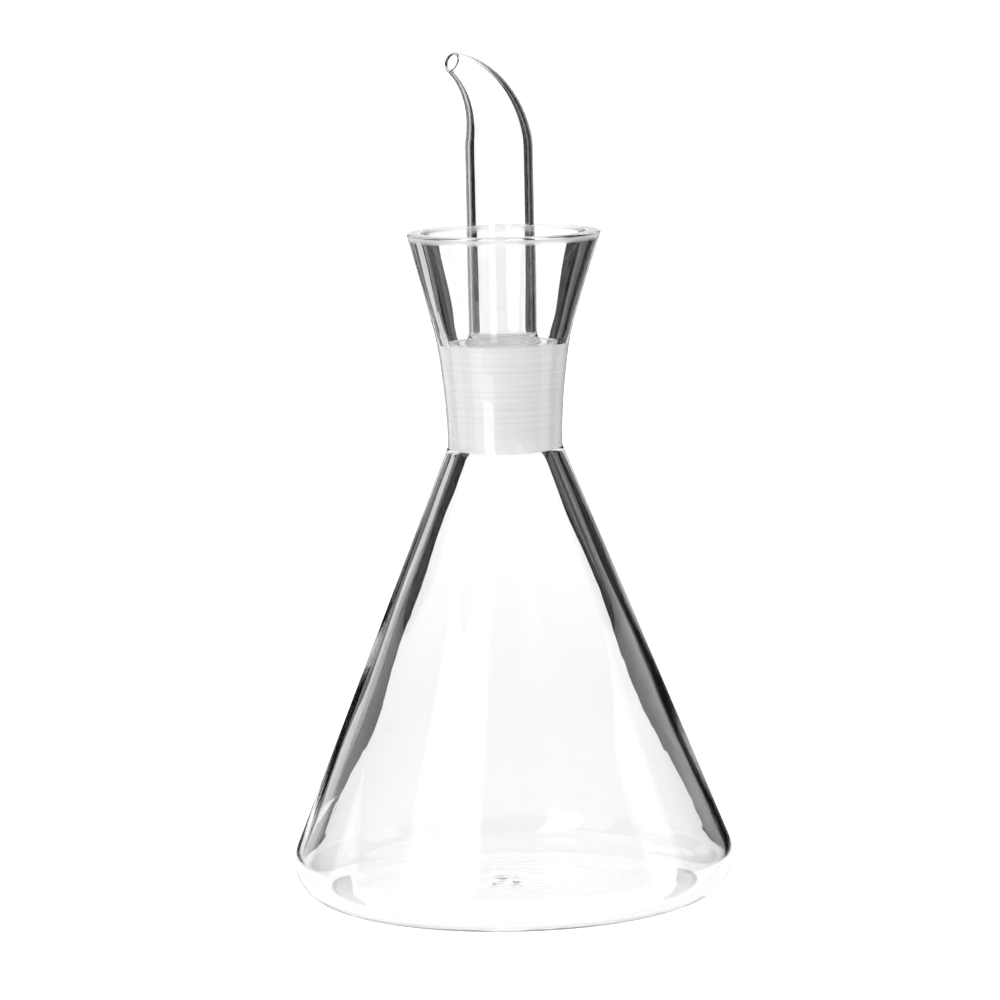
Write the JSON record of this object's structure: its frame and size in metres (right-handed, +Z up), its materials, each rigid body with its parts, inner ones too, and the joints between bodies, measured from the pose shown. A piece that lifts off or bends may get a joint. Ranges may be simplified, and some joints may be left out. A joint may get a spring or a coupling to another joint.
{
  "type": "oil cruet",
  "caption": "Clear glass oil cruet: conical flask with a ground neck and flared drip collar, and a loose hollow stopper that carries a wide bent spout.",
  "frame": {"origin": "middle of the flat face that the flask stands on", "axes": "+Z up along the flask's axis, -X towards the spout's mouth"},
  "size_m": [0.1104, 0.1104, 0.2117],
  "materials": {
    "clear_glass": "clear, fire-polished borosilicate glass",
    "ground_glass": "borosilicate glass with finely ground, frosted sealing faces"
  },
  "bodies": {
    "bottle": {"flask_body": "clear_glass", "ground_socket": "ground_glass", "drip_collar": "clear_glass"},
    "pourer": {"ground_plug": "ground_glass", "spout_tube": "clear_glass"}
  },
  "joints": [
    {"name": "stopper_lift", "type": "slide", "parent": "bottle", "child": "pourer", "axis": [0, 0, 1], "range_m": [0, 0.055]}
  ]
}
